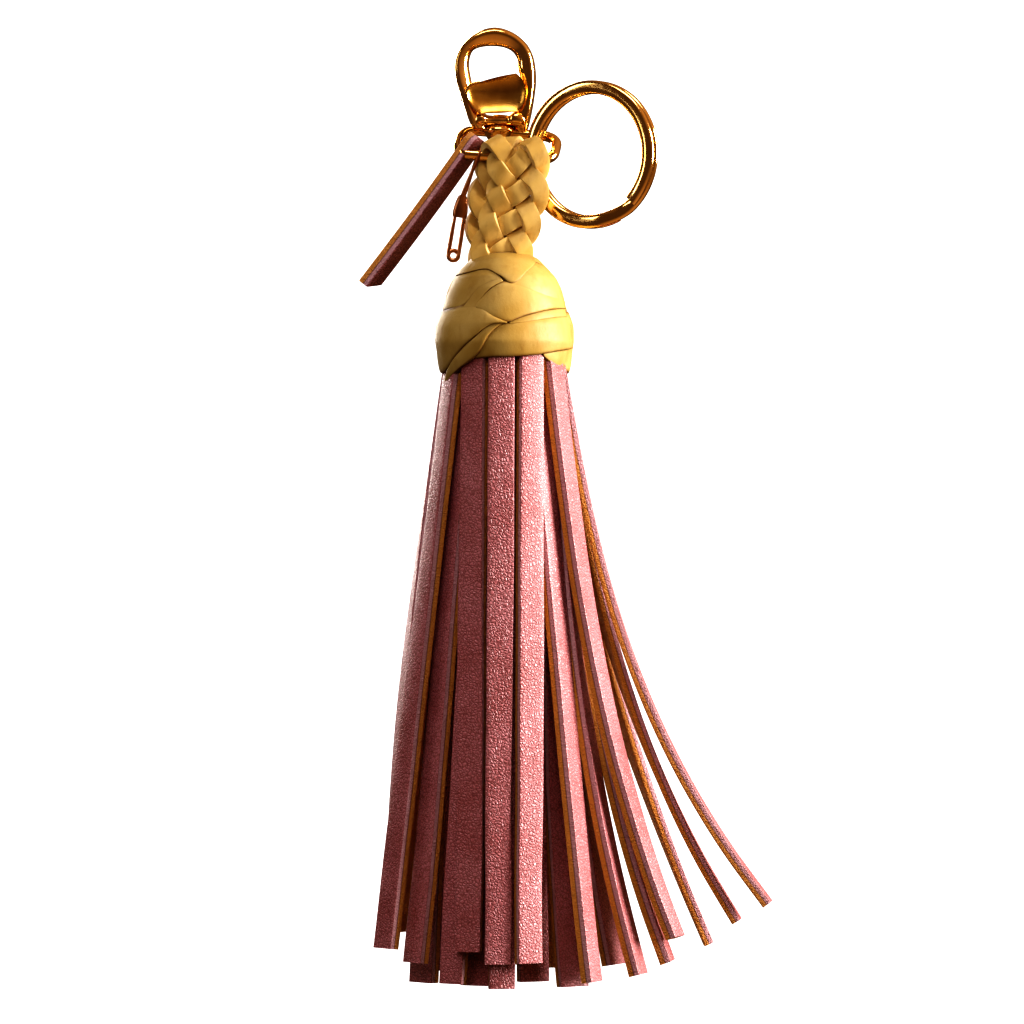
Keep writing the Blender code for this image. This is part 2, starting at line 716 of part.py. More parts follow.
def strand_path(ring, angle, end_x, end_y, end_z, flare):
    """A strand falls from its place round the core and splays out to its end."""
    radius = RING_RADII[ring]
    turn = math.radians(angle)
    top = Vector((HEAD_X + radius * math.sin(turn), STRAP_Y - radius * math.cos(turn), STRAND_TOP_Z))
    end = Vector((end_x, STRAP_Y + end_y, end_z))
    path = []
    for step in range(STRAND_STEPS + 1):
        fall = step / STRAND_STEPS
        x = top.x + (end.x - top.x) * ((1 - flare) * fall + flare * fall ** 3)
        y = top.y + (end.y - top.y) * fall ** 0.9
        path.append(Vector((x, y, top.z + (end.z - top.z) * fall)))
    return path


def strands():
    for name, ring, angle, end_x, end_y, end_z, flare, face_end in STRANDS:
        path = strand_path(ring, angle, end_x, end_y, end_z, flare)
        sides = []
        normals = []
        for step in range(len(path)):
            fall = step / STRAND_STEPS
            ease = fall * fall * (3 - 2 * fall)
            face = math.radians(angle + (face_end - angle) * ease)
            outward = Vector((math.sin(face), -math.cos(face), 0))
            sides.append(Vector((math.cos(face), math.sin(face), 0)))
            normals.append(outward)
        solid = strip(path, sides, normals, STRAND_WIDTH, STRAND_THICKNESS)
        add_solid(name, *solid, "pink_leather", strand_group(name))


def group_pivots():
    """Each strand group folds out about a level line just inside the head's rim."""
    for group, (angle, members) in STRAND_GROUPS.items():
        turn = math.radians(angle)
        radius = RING_RADII[1]
        spot = (HEAD_X + radius * math.sin(turn), STRAP_Y - radius * math.cos(turn), STRAND_TOP_Z)
        add_pivot(group, spot, "strap")


STRAP_Y = bar_point(BRAID_FOLD_X).y

clear_scene()
make_materials()
add_pivot("gate", hook_point(0, GATE_PIN_W))
add_pivot("swivel", (SWIVEL_X, 0, -10))
add_pivot("loop", (SWIVEL_X, 0, EYE_Z), "swivel")
add_pivot("key_ring", loop_point(6.0, 0), "loop")
add_pivot("tag", tag_hole_point(), "loop")
add_pivot("safety_pin", pin_bar_point(), "loop")
add_pivot("pin_arm", pin_coil_centre(), "safety_pin")
add_pivot("strap", bar_point(BRAID_FOLD_X), "loop")
group_pivots()
hook_frame()
hook_gate()
gate_pin()
gate_spring()
swivel_eye()
swivel_washer()
strap_loop()
key_ring()
tag_strip()
pin_link()
pin_cap()
pin_wire()
pin_arm()
braid_laces()
head_core()
head_bands()
strands()
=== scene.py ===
"""The finished look of the leather tassel keychain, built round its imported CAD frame.

Lengths in this script are millimetres in the frame's own axes; add_mesh turns them
into metres. The front faces -Y and +X is to the right.
"""
import json
import math

import bpy
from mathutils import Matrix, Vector


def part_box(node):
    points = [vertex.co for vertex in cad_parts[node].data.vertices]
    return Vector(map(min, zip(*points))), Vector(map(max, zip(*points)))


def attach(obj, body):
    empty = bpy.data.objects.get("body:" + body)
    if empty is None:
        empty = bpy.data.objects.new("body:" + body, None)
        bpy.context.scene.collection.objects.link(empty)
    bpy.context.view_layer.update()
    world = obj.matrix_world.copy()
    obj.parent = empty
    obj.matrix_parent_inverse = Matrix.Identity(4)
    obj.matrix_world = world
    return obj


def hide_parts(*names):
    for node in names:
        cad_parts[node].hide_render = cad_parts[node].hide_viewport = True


MM = 0.001
UP = Vector((0, 0, 1))
FRONT = Vector((0, -1, 0))

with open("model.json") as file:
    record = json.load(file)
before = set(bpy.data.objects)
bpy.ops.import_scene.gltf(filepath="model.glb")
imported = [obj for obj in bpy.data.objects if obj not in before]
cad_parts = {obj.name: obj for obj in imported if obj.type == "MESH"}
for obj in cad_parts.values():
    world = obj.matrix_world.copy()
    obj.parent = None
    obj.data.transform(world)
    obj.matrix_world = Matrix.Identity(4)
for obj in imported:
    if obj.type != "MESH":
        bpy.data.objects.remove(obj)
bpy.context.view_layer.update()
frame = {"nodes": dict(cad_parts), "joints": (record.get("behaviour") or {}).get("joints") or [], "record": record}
nodes = frame["nodes"]
joints = {joint["name"]: joint for joint in frame["joints"]}


# ---------------------------------------------------------------- places in the frame

def joint_point(name):
    return Vector(joints[name]["pos_m"]) / MM


def joint_axis(name):
    return Vector(joints[name]["axis"]).normalized()


def node_corners(name):
    low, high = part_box(name)
    return Vector(low) / MM, Vector(high) / MM


BAR = joint_point("strap_swing")
ALONG = joint_axis("strap_swing")
head_low, head_high = node_corners("head_core")
HEAD_X = (head_low.x + head_high.x) / 2
HEAD_Y = (head_low.y + head_high.y) / 2


# ---------------------------------------------------------------- materials

def shader_node(tree, kind, inputs=None, **settings):
    made = tree.nodes.new("ShaderNode" + kind)
    for key, value in settings.items():
        setattr(made, key, value)
    for key, value in (inputs or {}).items():
        if isinstance(value, bpy.types.NodeSocket):
            tree.links.new(value, made.inputs[key])
        else:
            made.inputs[key].default_value = value
    return made


def new_material(name):
    material = bpy.data.materials.new(name)
    material.use_nodes = True
    tree = material.node_tree
    shader = tree.nodes["Principled BSDF"]
    place = shader_node(tree, "TexCoord").outputs["Object"]
    return material, tree, shader, place


def noise(tree, place, scale, detail=3.0, rough=0.5, stretch=None):
    if stretch:
        place = shader_node(tree, "Mapping", {"Vector": place, "Scale": stretch}).outputs[0]
    made = shader_node(tree, "TexNoise", {"Vector": place, "Scale": scale, "Detail": detail,
                                          "Roughness": rough})
    return made.outputs["Fac"]


def ramp(tree, value, low, high, to_low=0.0, to_high=1.0):
    made = shader_node(tree, "MapRange", {"Value": value, "From Min": low, "From Max": high,
                                          "To Min": to_low, "To Max": to_high})
    return made.outputs["Result"]


def mix(tree, factor, first, second):
    made = shader_node(tree, "Mix", data_type="RGBA")
    for index, value in ((0, factor), (6, first), (7, second)):
        if isinstance(value, bpy.types.NodeSocket):
            tree.links.new(value, made.inputs[index])
        else:
            made.inputs[index].default_value = value
    return made.outputs[2]


def attribute(tree, name):
    return shader_node(tree, "Attribute", attribute_name=name).outputs["Fac"]


def arithmetic(tree, operation, first, second):
    made = shader_node(tree, "Math", operation=operation)
    for index, value in enumerate((first, second)):
        if isinstance(value, bpy.types.NodeSocket):
            tree.links.new(value, made.inputs[index])
        else:
            made.inputs[index].default_value = value
    return made.outputs[0]


def bump(tree, height, distance, strength=1.0, under=None):
    inputs = {"Height": height, "Distance": distance, "Strength": strength}
    if under:
        inputs["Normal"] = under
    return shader_node(tree, "Bump", inputs).outputs["Normal"]


def gold_material():
    material, tree, shader, place = new_material("polished_gold")
    cloud = noise(tree, place, 160, 3)
    streak = noise(tree, place, 900, 4, 0.6, (1, 1, 0.15))
    colour = mix(tree, ramp(tree, cloud, 0.35, 0.7), (0.80, 0.50, 0.17, 1), (0.93, 0.64, 0.30, 1))
    tree.links.new(colour, shader.inputs["Base Color"])
    tree.links.new(ramp(tree, streak, 0.3, 0.75, 0.07, 0.19), shader.inputs["Roughness"])
    tree.links.new(bump(tree, streak, 0.00002, 0.25), shader.inputs["Normal"])
    shader.inputs["Metallic"].default_value = 1.0
    return material


def aged_gold_material(name, shade, light):
    """Softer gold for the gate plate and the safety pin."""
    material, tree, shader, place = new_material(name)
    cloud = noise(tree, place, 300, 4)
    streak = noise(tree, place, 700, 4, 0.6, (0.2, 1, 1))
    colour = mix(tree, ramp(tree, cloud, 0.35, 0.7), shade, light)
    tree.links.new(colour, shader.inputs["Base Color"])
    tree.links.new(ramp(tree, streak, 0.3, 0.75, 0.26, 0.38), shader.inputs["Roughness"])
    tree.links.new(bump(tree, streak, 0.00003, 0.3), shader.inputs["Normal"])
    shader.inputs["Metallic"].default_value = 1.0
    return material


def steel_material():
    material, tree, shader, place = new_material("spring_steel")
    streak = noise(tree, place, 1400, 4)
    colour = mix(tree, streak, (0.30, 0.27, 0.23, 1), (0.58, 0.54, 0.48, 1))
    tree.links.new(colour, shader.inputs["Base Color"])
    tree.links.new(ramp(tree, streak, 0.3, 0.7, 0.22, 0.4), shader.inputs["Roughness"])
    shader.inputs["Metallic"].default_value = 1.0
    return material


def mustard_material(name, shade, light):
    """Smooth waxed leather: fine pores and a creased grain, with paler fibres on the cut edges, and painted shade
    in the creased grain and along the marked band edges.
    """
    material, tree, shader, place = new_material(name)
    cloud = noise(tree, place, 140, 3)
    grain = noise(tree, place, 2600, 5, 0.65)
    crease_and_shade = noise(tree, place, 500, 4, 0.6, (1, 1, 0.45))
    cut = attribute(tree, "cut")
    face = mix(tree, ramp(tree, cloud, 0.3, 0.7), shade, light)
    # Painted shade: the face darkens towards dark brown where the crease noise is high.
    face = mix(tree, ramp(tree, crease_and_shade, 0.55, 0.85, 0, 0.5), face, (0.24, 0.11, 0.012, 1))
    fibre = mix(tree, grain, (0.66, 0.44, 0.17, 1), (0.85, 0.66, 0.36, 1))
    # Painted shade: near-black brown along the band edges and cut ends that the head marks, broken up by the
    # crease noise.
    rim = arithmetic(tree, "MULTIPLY", attribute(tree, "crease_and_shade"), ramp(tree, crease_and_shade, 0.25, 0.6, 0.45, 1.0))
    face = mix(tree, rim, face, (0.13, 0.055, 0.008, 1))
    tree.links.new(mix(tree, cut, face, fibre), shader.inputs["Base Color"])
    rough = ramp(tree, grain, 0.3, 0.7, 0.44, 0.60)
    tree.links.new(arithmetic(tree, "ADD", rough, arithmetic(tree, "MULTIPLY", cut, 0.3)),
                   shader.inputs["Roughness"])
    fine = bump(tree, grain, 0.00005, 0.5)
    tree.links.new(bump(tree, crease_and_shade, 0.00022, 0.45, fine), shader.inputs["Normal"])
    shader.inputs["Specular IOR Level"].default_value = 0.38
    return material


def pink_material():
    """Pebbled pink leather on a tan ply, with painted shade in the grooves of the grain; both plies show side by
    side on the cut edges.
    """
    material, tree, shader, place = new_material("pink_leather")
    cloud = noise(tree, place, 110, 3)
    fibre = noise(tree, place, 3200, 4, 0.7)
    warp = shader_node(tree, "TexNoise", {"Vector": place, "Scale": 900.0, "Detail": 2.0}).outputs["Color"]
    bent = shader_node(tree, "VectorMath", {0: place, 1: shader_node(
        tree, "VectorMath", {0: warp, 1: (0.0009, 0.0009, 0.0009)}, operation="MULTIPLY").outputs[0]},
        operation="ADD").outputs[0]
    cells = shader_node(tree, "TexVoronoi", {"Vector": bent, "Scale": 1700.0, "Randomness": 1.0},
                        feature="DISTANCE_TO_EDGE").outputs["Distance"]
    pebble = ramp(tree, cells, 0.0, 0.30)
    fine = noise(tree, place, 2800, 3, 0.6)
    ply = attribute(tree, "ply")
    skin = mix(tree, ramp(tree, cloud, 0.3, 0.7), (0.42, 0.125, 0.13, 1), (0.54, 0.205, 0.22, 1))
    # Painted shade: the skin darkens to deep red in the grooves between the pebbles.
    skin = mix(tree, ramp(tree, pebble, 0.0, 0.45, 0.75, 0.0), skin, (0.15, 0.022, 0.022, 1))
    pink_ply = mix(tree, fibre, (0.40, 0.17, 0.19, 1), (0.78, 0.48, 0.50, 1))
    tan_ply = mix(tree, fibre, (0.42, 0.15, 0.02, 1), (0.80, 0.40, 0.10, 1))
    is_edge = ramp(tree, ply, 0.04, 0.10)
    is_tan = ramp(tree, ply, 0.46, 0.52)
    seam = arithmetic(tree, "MULTIPLY", ramp(tree, ply, 0.38, 0.46), ramp(tree, ply, 0.56, 0.48))
    colour = mix(tree, is_edge, skin, pink_ply)
    colour = mix(tree, is_tan, colour, tan_ply)
    colour = mix(tree, arithmetic(tree, "MULTIPLY", seam, 0.7), colour, (0.16, 0.05, 0.015, 1))
    tree.links.new(colour, shader.inputs["Base Color"])
    rough = ramp(tree, pebble, 0.0, 0.8, 0.60, 0.40)
    tree.links.new(arithmetic(tree, "ADD", rough, arithmetic(tree, "MULTIPLY", is_edge, 0.4)),
                   shader.inputs["Roughness"])
    grain = bump(tree, pebble, 0.00016, 0.8, bump(tree, fine, 0.00006, 0.5))
    fibres = bump(tree, arithmetic(tree, "MULTIPLY", fibre, is_edge), 0.00025, 0.6, grain)
    tree.links.new(fibres, shader.inputs["Normal"])
    shader.inputs["Specular IOR Level"].default_value = 0.95
    shader.inputs["Coat Weight"].default_value = 0.45
    shader.inputs["Coat Roughness"].default_value = 0.42
    return material


GOLD = gold_material()
SATIN = aged_gold_material("satin_gold", (0.52, 0.30, 0.07, 1), (0.70, 0.44, 0.14, 1))
DARK_GOLD = aged_gold_material("rose_gold", (0.46, 0.19, 0.09, 1), (0.66, 0.34, 0.18, 1))
STEEL = steel_material()
# Braid and head are one leather in two copies: the braid's copy is painted paler (painted light) and the head's
# copy darker (painted shade), for how differently each is lit.
MUSTARD = mustard_material("mustard_leather", (0.54, 0.33, 0.09, 1), (0.70, 0.48, 0.18, 1))
HEAD_MUSTARD_SHADED = mustard_material("head_leather", (0.375, 0.235, 0.062, 1), (0.48, 0.335, 0.125, 1))
PINK = pink_material()


# ---------------------------------------------------------------- mesh helpers

def add_mesh(name, points, faces, material, body, stands_for=(), corner_values=None):
    """A piece from points in millimetres; corner_values are named lists, one value per face corner."""
    mesh = bpy.data.meshes.new(name)
    mesh.from_pydata([point * MM for point in points], [], faces)
    mesh.validate()
    for key, values in (corner_values or {}).items():
        layer = mesh.attributes.new(key, "FLOAT", "CORNER")
        layer.data.foreach_set("value", values)
    mesh.materials.append(material)
    mesh.shade_smooth()
    mesh.set_sharp_from_angle(angle=math.radians(50))
    piece = bpy.data.objects.new(name, mesh)
    bpy.context.scene.collection.objects.link(piece)
    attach(piece, body)
    if stands_for:
        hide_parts(*stands_for)
    return piece


def catmull(first, second, third, fourth, t):
    """A point between second and third on the smooth curve through all four."""
    return 0.5 * ((2 * second) + (third - first) * t
                  + (2 * first - 5 * second + 4 * third - fourth) * t * t
                  + (3 * second - 3 * third + fourth - first) * t * t * t)


def smooth(values, steps):
    """Numbers or vectors on a smooth curve through values, steps to each gap."""
    result = []
    last = len(values) - 1
    for index in range(last):
        first = values[max(index - 1, 0)]
        second = values[index]
        third = values[index + 1]
        fourth = values[min(index + 2, last)]
        for step in range(steps):
            result.append(catmull(first, second, third, fourth, step / steps))
    result.append(values[-1])
    return result


def closed_smooth(values, steps):
    """The same, for a loop that joins its last value to its first."""
    result = []
    count = len(values)
    for index in range(count):
        around = [values[(index + offset) % count] for offset in (-1, 0, 1, 2)]
        for step in range(steps):
            result.append(catmull(*around, step / steps))
    return result


def column_smooth(table, steps):
    """A table's rows with each column smoothed down the table."""
    return list(zip(*[smooth(list(values), steps) for values in zip(*table)]))


def turns(count):
    return [math.tau * step / count for step in range(count)]


def soft_cos(angle, power):
    """A cosine pushed towards a square as power falls below 1."""
    return math.copysign(abs(math.cos(angle)) ** power, math.cos(angle))


def soft_sin(angle, power):
    return math.copysign(abs(math.sin(angle)) ** power, math.sin(angle))


def clamp(value):
    return min(max(value, 0.0), 1.0)


def ease(value):
    """Value clamped to 0 to 1, with a slow start and a slow end."""
    share = clamp(value)
    return share * share * (3 - 2 * share)


STRIP_FACE_COLUMNS = 6


def strip_ring(width, thickness, corner, crown):
    """The strip's cross-section as (across, out, ply), ply going from 0 on the face to 1 on the back."""
    ring = []
    half = width / 2
    deep = thickness / 2
    reach = half - corner
    for column in range(STRIP_FACE_COLUMNS + 1):
        across = -reach + 2 * reach * column / STRIP_FACE_COLUMNS
        ring.append((across, deep + crown * (1 - (across / half) ** 2), 0.0))
    for across, out in edge_profile(half, deep, corner):
        ring.append((across, out, clamp(0.5 - out / thickness)))
    for column in range(STRIP_FACE_COLUMNS + 1):
        across = reach - 2 * reach * column / STRIP_FACE_COLUMNS
        ring.append((across, -deep, 1.0))
    for across, out in reversed(edge_profile(half, deep, corner)):
        ring.append((-across, out, clamp(0.5 - out / thickness)))
    return ring


def edge_profile(half, deep, corner):
    """Points (across, out) down one rounded edge of a strip."""
    points = [(half - corner * 0.3, deep - corner * 0.15), (half - corner * 0.05, deep - corner * 0.55)]
    points += [(half, (deep - corner) * share) for share in (0.8, 0.1, -0.1, -0.8)]
    points += [(half - corner * 0.05, -deep + corner * 0.55), (half - corner * 0.3, -deep + corner * 0.15)]
    return points


def ribbon(rows, rings):
    """Points, faces and corner values of a closed strip; a row is (centre, side, out) and has its ring."""
    points = []
    faces = []
    plies = []
    cuts = []
    count = len(rings[0])
    for (centre, side, out), ring in zip(rows, rings):
        points += [centre + side * across + out * depth for across, depth, ply in ring]

    def add_face(corners, cut):
        faces.append([row * count + column for row, column in corners])
        for row, column in corners:
            ply = rings[row][column][2]
            plies.append(max(ply, 0.12) if cut else ply)
            cuts.append(1.0 if cut or 0.08 < ply < 0.92 else 0.0)

    for row in range(len(rows) - 1):
        for column in range(count):
            beside = (column + 1) % count
            add_face([(row, column), (row + 1, column), (row + 1, beside), (row, beside)], False)
    add_face([(0, column) for column in range(count)], True)
    last = len(rows) - 1
    add_face([(last, column) for column in reversed(range(count))], True)
    return points, faces, {"ply": plies, "cut": cuts}


# ---------------------------------------------------------------- swept metal

def skin_rings(rings, closed=False):
    """Points and faces of a quad skin over equal rings of points, with flat ends unless closed."""
    count = len(rings[0])
    points = [point for ring in rings for point in ring]
    faces = []
    spans = len(rings) if closed else len(rings) - 1
    for row in range(spans):
        following = (row + 1) % len(rings)
        for column in range(count):
            beside = (column + 1) % count
            faces.append((row * count + column, row * count + beside,
                          following * count + beside, following * count + column))
    if not closed:
        faces.append(tuple(reversed(range(count))))
        faces.append(tuple((len(rings) - 1) * count + column for column in range(count)))
    return points, faces


def tube_rings(path, radii, sides, closed=False, up=UP):
    """Round rings along a path, of one radius or a list of them."""
    rings = []
    last = len(path) - 1
    for index, point in enumerate(path):
        before = path[index - 1] if index or closed else path[0]
        after = path[(index + 1) % len(path)] if index < last or closed else path[last]
        ahead = (after - before).normalized()
        side = ahead.cross(up).normalized()
        over = side.cross(ahead).normalized()
        radius = radii[index] if isinstance(radii, list) else radii
        ring = []
        for step in range(sides):
            angle = math.tau * step / sides
            ring.append(point + side * radius * math.cos(angle) + over * radius * math.sin(angle))
        rings.append(ring)
    return rings


def add_metal(name, rings, body, stands_for=(), closed=False, finish=GOLD):
    points, faces = skin_rings(rings, closed)
    add_mesh(name, points, faces, finish, body, stands_for)


# Snap hook's bow, from its left foot over the top to its right foot: (outer x, z, inner x, z, half depth).
BOW = [
    (-3.9, -12.5, -1.2, -12.3, 1.9), (-4.7, -10.9, -2.2, -10.7, 2.2), (-5.5, -8.7, -2.9, -8.6, 2.4),
    (-6.5, -5.6, -3.7, -5.8, 2.5), (-7.3, -3.0, -4.3, -3.2, 2.4), (-7.6, -0.6, -4.75, -0.4, 2.3),
    (-7.2, 1.6, -4.5, 1.5, 2.2), (-5.9, 3.9, -3.8, 2.7, 2.1), (-3.3, 6.0, -2.2, 3.3, 2.0),
    (0.2, 6.95, 0.1, 3.45, 2.0), (3.6, 6.0, 2.3, 3.1, 2.0), (6.2, 3.9, 3.9, 2.1, 2.1),
    (7.5, 1.5, 4.5, 0.7, 2.2), (8.0, -1.0, 4.6, -0.8, 2.3), (8.1, -3.6, 5.0, -2.9, 2.4),
    (7.8, -6.4, 4.9, -6.0, 2.5), (7.3, -9.4, 4.2, -9.1, 2.4), (6.7, -12.0, 3.7, -11.6, 2.0),
    (6.2, -13.2, 4.2, -12.8, 1.4),
]
# The bow's section: share of the way from its outer to its inner edge, and share of its half depth.
BOW_SECTION = [(0.0, 0.0), (0.03, -0.55), (0.16, -0.93), (0.34, -1.0), (0.56, -0.9), (0.8, -0.72),
               (0.98, -0.4), (1.0, 0.2), (0.82, 0.8), (0.45, 1.0), (0.12, 0.9)]
# The bar between the hook's feet: (x, centre z, half height, half depth).
FOOT = [
    (-4.0, -11.0, 0.5, 1.2), (-3.6, -10.9, 1.1, 2.0), (-2.9, -10.8, 1.35, 2.4), (-2.0, -10.7, 1.4, 2.5),
    (-1.2, -10.9, 1.15, 2.0), (-0.4, -10.9, 1.05, 1.8), (1.2, -10.9, 1.1, 1.9), (2.6, -10.9, 1.1, 1.9),
    (3.4, -10.7, 1.4, 2.5), (4.4, -10.6, 1.6, 2.7), (5.4, -10.8, 1.5, 2.5), (6.1, -11.1, 1.1, 2.0),
    (6.5, -11.3, 0.5, 1.2),
]


def add_bow():
    section = closed_smooth([Vector(pair) for pair in BOW_SECTION], 3)
    rings = []
    for outer_x, outer_z, inner_x, inner_z, depth in column_smooth(BOW, 5):
        outer = Vector((outer_x, 0, outer_z))
        inner = Vector((inner_x, 0, inner_z))
        rings.append([outer.lerp(inner, spot.x) - FRONT * depth * spot.y for spot in section])
    add_metal("hook_bow", rings, "hook", ["hook_frame"])
    foot = []
    for x, z, high, deep in column_smooth(FOOT, 3):
        foot.append([Vector((x, deep * soft_cos(turn, 0.8), z + high * soft_sin(turn, 0.8)))
                     for turn in turns(28)])
    add_metal("hook_foot", foot, "hook")


# Gate plate: left and right edges from top to bottom as (x, z).
PLATE_LEFT = [(-2.6, -3.62), (-4.3, -4.1), (-5.15, -5.3), (-4.95, -6.9), (-3.95, -8.4), (-2.5, -9.6)]
PLATE_RIGHT = [(4.3, -2.0), (5.4, -3.1), (6.1, -4.7), (6.15, -6.2), (5.6, -7.9), (4.6, -9.2)]
PLATE_RIM_Y = -2.7
PLATE_DISH = 1.35
PLATE_THICKNESS = 0.7
PLATE_LIP = 0.3
PLATE_COLUMNS = 20


def add_gate_plate():
    left = smooth([Vector((x, 0, z)) for x, z in PLATE_LEFT], 5)
    right = smooth([Vector((x, 0, z)) for x, z in PLATE_RIGHT], 5)
    last = len(left) - 1
    rings = []
    lip = []
    for row in range(len(left)):
        down = row / last
        line = []
        for column in range(PLATE_COLUMNS + 1):
            across = column / PLATE_COLUMNS
            spot = left[row].lerp(right[row], across)
            spot.z += 0.3 * math.sin(math.pi * across) * (0.5 - down)
            hollow = (1 - (2 * down - 1) ** 2) * (1 - (2 * across - 1) ** 2) ** 0.5
            line.append(spot + Vector((0, PLATE_RIM_Y + PLATE_DISH * hollow, 0)))
        lip.append(line[0].copy())
        back = [point + Vector((0, PLATE_THICKNESS, 0)) for point in reversed(line)]
        rings.append(line + back)
    add_metal("gate_plate", rings, "gate", ["hook_gate"], finish=SATIN)
    radii = [PLATE_LIP * (0.55 + 0.45 * math.sin(math.pi * index / last)) for index in range(last + 1)]
    add_metal("gate_lip", tube_rings(lip, radii, 12), "gate")


def lathe_rings(profile, centre, sides=32):
    rings = []
    for radius, z in profile:
        ring = []
        for step in range(sides):
            angle = math.tau * step / sides
            ring.append(centre + Vector((radius * math.cos(angle), radius * math.sin(angle), z)))
        rings.append(ring)
    return rings


def add_swivel():
    swivel = joint_point("hook_swivel")
    eye = joint_point("loop_tilt")
    profile = [(0.6, -9.7), (1.25, -9.8), (1.45, -10.1), (1.3, -10.4), (1.25, -11.6), (2.2, -11.9),
               (2.9, -12.3), (3.1, -12.8), (2.9, -13.3), (2.5, -13.8), (2.1, -14.4), (1.3, -14.9),
               (0.4, -15.1)]
    dome = [(max(radius, 0.05), z) for radius, z in column_smooth(profile, 3)]
    add_metal("swivel_dome", lathe_rings(dome, Vector((swivel.x, swivel.y, 0))), "swivel", ["swivel_eye"])
    collar = [(1.0, -11.35), (1.9, -11.35), (2.0, -11.5), (1.9, -11.65), (1.0, -11.65)]
    add_metal("swivel_collar", lathe_rings(collar, Vector((eye.x, swivel.y, 0))), "swivel", ["swivel_washer"])


LOOP_WIRE = 0.98
LOOP_HALF_LENGTH = 9.25
LOOP_HALF_HEIGHT = 4.05
LOOP_CORNER = 2.9
LOOP_CORNER_STEPS = 8
LOOP_SHIFT = 0.2


def add_loop():
    """The oval loop lies in the plane of its two long wires: the eye is on one and the strap on the other."""
    eye = joint_point("loop_tilt")
    low, high = node_corners("strap_loop")
    middle = (low + high) / 2
    rise = (eye - BAR) - ALONG * (eye - BAR).dot(ALONG)
    rise.normalize()
    path = []
    corners = ((1, 1, 0), (-1, 1, 90), (-1, -1, 180), (1, -1, 270))
    for across, over, start in corners:
        for step in range(LOOP_CORNER_STEPS + 1):
            angle = math.radians(start + 90 * step / LOOP_CORNER_STEPS)
            x = across * (LOOP_HALF_LENGTH - LOOP_CORNER) + LOOP_CORNER * math.cos(angle)
            z = over * (LOOP_HALF_HEIGHT - LOOP_CORNER) + LOOP_CORNER * math.sin(angle)
            path.append(middle + ALONG * x + rise * z)
    normal = ALONG.cross(rise)
    path = closed_smooth([spot - ALONG * LOOP_SHIFT for spot in path], 3)
    rings = tube_rings(path, LOOP_WIRE, 24, True, normal)
    add_metal("oval_loop", rings, "loop", ["strap_loop"], closed=True)


RING_TURN_HALF = 0.72
RING_TURN_GAP = 0.04
RING_BAND_HALF = 1.28
RING_STEP_DEGREES = -55
RING_TOTAL_DEGREES = 700
RING_CROSS_START = 325
RING_CROSS_SPAN = 30


def add_key_ring():
    """Two turns of flattened wire that cross over at the step."""
    low, high = node_corners("key_ring")
    centre = (low + high) / 2
    radius = (high.z - low.z) / 2 - RING_BAND_HALF
    reach = centre - joint_point("key_ring_swing")
    reach = Vector((reach.x, reach.y, 0)).normalized()
    axis = reach.cross(UP).normalized()
    if axis.dot(FRONT) < 0:
        axis = -axis
    rings = []
    for degrees in range(0, RING_TOTAL_DEGREES + 1, 4):
        angle = math.radians(RING_STEP_DEGREES + 10 + degrees)
        layer = 1 - 2 * ease((degrees - RING_CROSS_START) / RING_CROSS_SPAN)
        taper = min(1.0, 0.8 + min(degrees, RING_TOTAL_DEGREES - degrees) / 40)
        outward = reach * math.cos(angle) + UP * math.sin(angle)
        middle = centre + outward * radius + axis * layer * (RING_TURN_HALF + RING_TURN_GAP)
        rings.append([middle + outward * soft_cos(turn, 0.85) * RING_BAND_HALF
                      + axis * soft_sin(turn, 0.85) * RING_TURN_HALF * taper for turn in turns(24)])
    add_metal("split_ring", rings, "key_ring", ["key_ring"])


PIN_WIRE = 0.4
PIN_SIDE = 0.95
PIN_HOOD_LENGTH = 3.9
PIN_TIP = 0.24
PIN_BEND = Vector((1.0, 0, 0))


